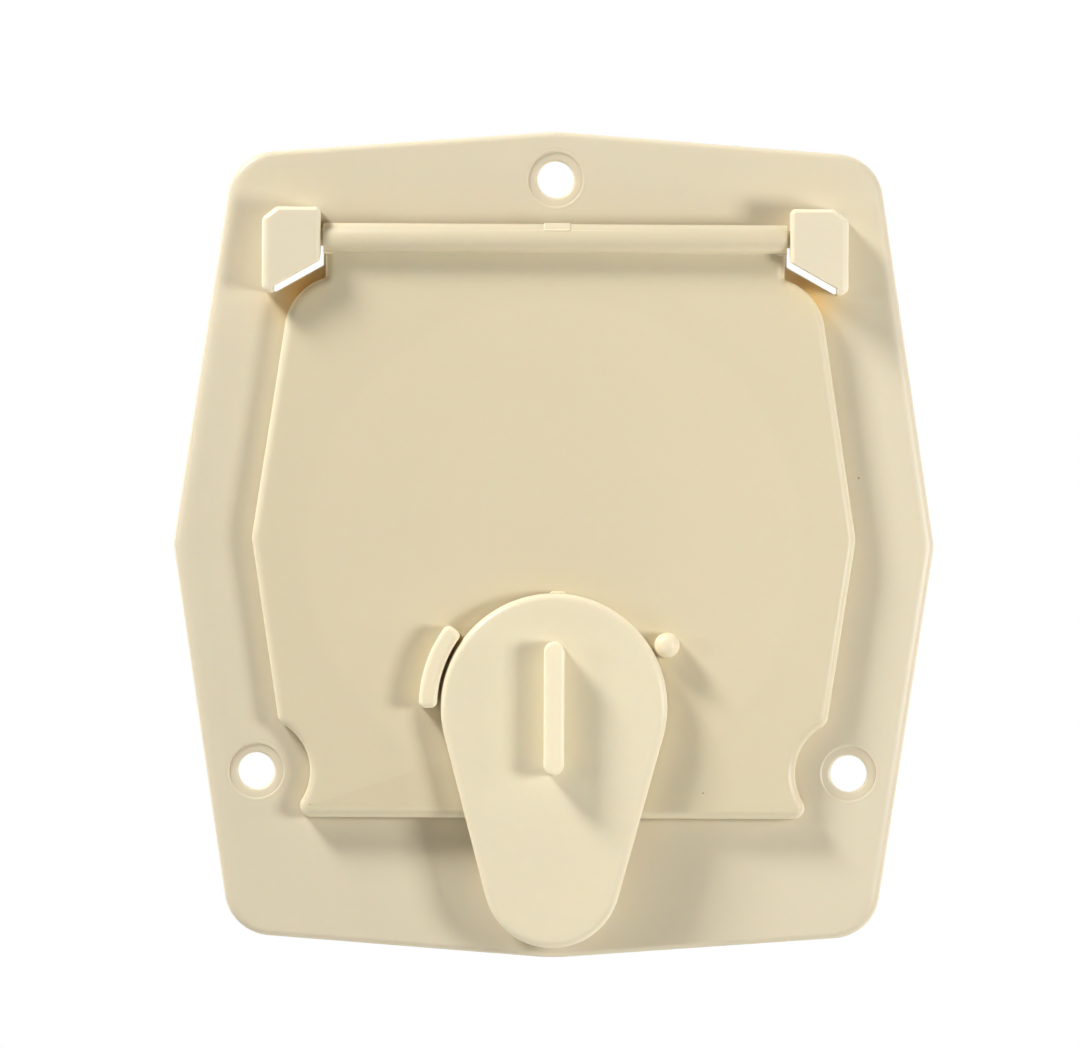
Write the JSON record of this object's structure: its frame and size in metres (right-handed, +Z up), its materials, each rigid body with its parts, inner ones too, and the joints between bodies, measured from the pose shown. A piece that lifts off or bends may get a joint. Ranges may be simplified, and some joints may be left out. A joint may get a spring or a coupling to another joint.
{
  "type": "power cord hatch",
  "caption": "Cream plastic power cord hatch for a caravan wall: screwed-on frame, top-hinged door and a teardrop cord cover that swivels over a cord notch.",
  "frame": {"origin": "on the wall face of the flange, on the centre line, straight behind the middle of the hinge axis", "axes": "+Y into the vehicle's wall, -Y towards a person in front of the hatch, +Z up, +X to that person's right"},
  "size_m": [0.133, 0.0288, 0.1446],
  "materials": {
    "cream_plastic": "smooth satin moulded plastic, colonial cream",
    "plated_steel": "bright zinc-plated steel"
  },
  "bodies": {
    "base": {"base_flange": "cream_plastic", "rear_collar": "cream_plastic", "cord_notch_lip": "cream_plastic", "left_hinge_ear": "cream_plastic", "right_hinge_ear": "cream_plastic"},
    "door": {"door_panel": "cream_plastic", "hinge_barrel": "cream_plastic", "left_hinge_pin": "cream_plastic", "right_hinge_pin": "cream_plastic", "stop_rib": "cream_plastic", "stop_post": "cream_plastic", "pivot_boss": "cream_plastic", "left_catch_tongue": "cream_plastic", "right_catch_tongue": "cream_plastic"},
    "cover": {"cord_cover": "cream_plastic", "finger_rib": "cream_plastic", "pivot_stem": "cream_plastic", "pivot_washer": "plated_steel", "pivot_screw": "plated_steel"}
  },
  "joints": [
    {"name": "door_hinge", "type": "hinge", "parent": "base", "child": "door", "pos_m": [0, -0.0076, 0], "axis": [-1, 0, 0], "range_deg": [0, 170]},
    {"name": "cover_swivel", "type": "hinge", "parent": "door", "child": "cover", "pos_m": [0, -0.007, -0.0817], "axis": [0, -1, 0], "range_deg": [-24, 54]}
  ]
}
